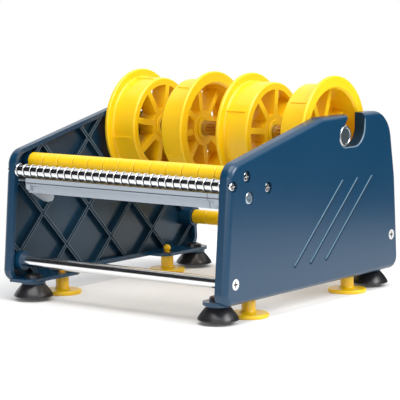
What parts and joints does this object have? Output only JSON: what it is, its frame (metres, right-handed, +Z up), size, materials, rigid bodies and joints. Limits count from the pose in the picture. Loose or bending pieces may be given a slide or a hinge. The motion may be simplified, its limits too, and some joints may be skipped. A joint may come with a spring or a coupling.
{
  "type": "label dispenser",
  "caption": "Bench dispenser for label rolls with moulded side plates, a lift-out spindle with core hubs, rollers, a guarded serrated blade, feet and suction cups.",
  "frame": {"origin": "middle of the machine at bench level, midway between the side plates and between their front and rear edges", "axes": "+X along the spindle to the right as seen by the user, +Y to the back (labels leave at -Y), +Z up"},
  "size_m": [0.2034, 0.2329, 0.1651],
  "materials": {
    "navy_plastic": "fine satin",
    "yellow_plastic": "smooth moulded",
    "grey_guard": "satin",
    "chrome_bar": "polished",
    "steel": "turned",
    "blade_steel": "matte",
    "zinc_screw": "bluish zinc",
    "black_rubber": "smooth"
  },
  "bodies": {
    "frame": {"right_side_plate": "navy_plastic", "left_side_plate": "navy_plastic", "front_roller_rod": "steel", "ribbed_bar": "chrome_bar", "guide_rod": "chrome_bar", "cutter_blade": "blade_steel", "guard_pivot_screws": "zinc_screw", "lower_tie_bar": "chrome_bar", "rear_rod": "steel", "rod_screws": "chrome_bar", "tie_bar_screws": "chrome_bar", "suction_cup_front_right": "black_rubber", "suction_cup_front_left": "black_rubber", "suction_cup_rear_right": "black_rubber", "suction_cup_rear_left": "black_rubber"},
    "spindle": {"spindle_rod": "steel", "spindle_end_right": "chrome_bar", "spindle_end_left": "chrome_bar"},
    "bush_1": {"hub_bush_1": "yellow_plastic"},
    "bush_2": {"hub_bush_2": "yellow_plastic"},
    "bush_3": {"hub_bush_3": "yellow_plastic"},
    "bush_4": {"hub_bush_4": "yellow_plastic"},
    "hub_1": {"core_hub_1": "yellow_plastic"},
    "hub_2": {"core_hub_2": "yellow_plastic"},
    "hub_3": {"core_hub_3": "yellow_plastic"},
    "hub_4": {"core_hub_4": "yellow_plastic"},
    "front_rollers_left": {"front_sleeves_left": "yellow_plastic"},
    "front_rollers_right": {"front_sleeves_right": "yellow_plastic"},
    "rear_rollers_left": {"rear_sleeves_left": "yellow_plastic"},
    "rear_rollers_right": {"rear_sleeves_right": "yellow_plastic"},
    "guard": {"guard_bar": "grey_guard", "guard_cap_right": "grey_guard", "guard_cap_left": "grey_guard", "guard_spring": "steel"},
    "foot_fr": {"foot_front_right": "yellow_plastic"},
    "foot_fl": {"foot_front_left": "yellow_plastic"},
    "foot_rr": {"foot_rear_right": "yellow_plastic"},
    "foot_rl": {"foot_rear_left": "yellow_plastic"}
  },
  "joints": [
    {"name": "spindle_lift", "type": "hinge", "parent": "frame", "child": "spindle", "pos_m": [0, 0.0372, 0.1391], "axis": [1, 0, 0], "range_deg": [0, 120]},
    {"name": "hub_1_slide", "type": "slide", "parent": "spindle", "child": "bush_1", "axis": [1, 0, 0], "range_m": [0, 0.011]},
    {"name": "hub_2_slide", "type": "slide", "parent": "spindle", "child": "bush_2", "axis": [1, 0, 0], "range_m": [-0.011, 0.012]},
    {"name": "hub_3_slide", "type": "slide", "parent": "spindle", "child": "bush_3", "axis": [1, 0, 0], "range_m": [-0.012, 0.012]},
    {"name": "hub_4_slide", "type": "slide", "parent": "spindle", "child": "bush_4", "axis": [1, 0, 0], "range_m": [-0.012, 0]},
    {"name": "hub_1_spin", "type": "hinge", "parent": "bush_1", "child": "hub_1", "pos_m": [0, 0.0372, 0.1211], "axis": [1, 0, 0], "continuous": true},
    {"name": "hub_2_spin", "type": "hinge", "parent": "bush_2", "child": "hub_2", "pos_m": [0, 0.0372, 0.1211], "axis": [1, 0, 0], "continuous": true},
    {"name": "hub_3_spin", "type": "hinge", "parent": "bush_3", "child": "hub_3", "pos_m": [0, 0.0372, 0.1211], "axis": [1, 0, 0], "continuous": true},
    {"name": "hub_4_spin", "type": "hinge", "parent": "bush_4", "child": "hub_4", "pos_m": [0, 0.0372, 0.1211], "axis": [1, 0, 0], "continuous": true},
    {"name": "front_rollers_left_spin", "type": "hinge", "parent": "frame", "child": "front_rollers_left", "pos_m": [0, -0.09052, 0.1019], "axis": [1, 0, 0], "continuous": true},
    {"name": "front_rollers_right_spin", "type": "hinge", "parent": "frame", "child": "front_rollers_right", "pos_m": [0, -0.09052, 0.1019], "axis": [1, 0, 0], "continuous": true},
    {"name": "rear_rollers_left_spin", "type": "hinge", "parent": "frame", "child": "rear_rollers_left", "pos_m": [0, 0.10482, 0.0408], "axis": [1, 0, 0], "continuous": true},
    {"name": "rear_rollers_right_spin", "type": "hinge", "parent": "frame", "child": "rear_rollers_right", "pos_m": [0, 0.10482, 0.0408], "axis": [1, 0, 0], "continuous": true},
    {"name": "guard_swing", "type": "hinge", "parent": "frame", "child": "guard", "pos_m": [0, -0.08782, 0.0869], "axis": [1, 0, 0], "range_deg": [0, 30], "stiffness_Nm_per_rad": 0.06, "springref_deg": -17.19},
    {"name": "foot_front_right_lift", "type": "slide", "parent": "frame", "child": "foot_fr", "axis": [0, 0, 1], "range_m": [0, 0.0028]},
    {"name": "foot_front_left_lift", "type": "slide", "parent": "frame", "child": "foot_fl", "axis": [0, 0, 1], "range_m": [0, 0.0028]},
    {"name": "foot_rear_right_lift", "type": "slide", "parent": "frame", "child": "foot_rr", "axis": [0, 0, 1], "range_m": [0, 0.0028]},
    {"name": "foot_rear_left_lift", "type": "slide", "parent": "frame", "child": "foot_rl", "axis": [0, 0, 1], "range_m": [0, 0.0028]}
  ]
}
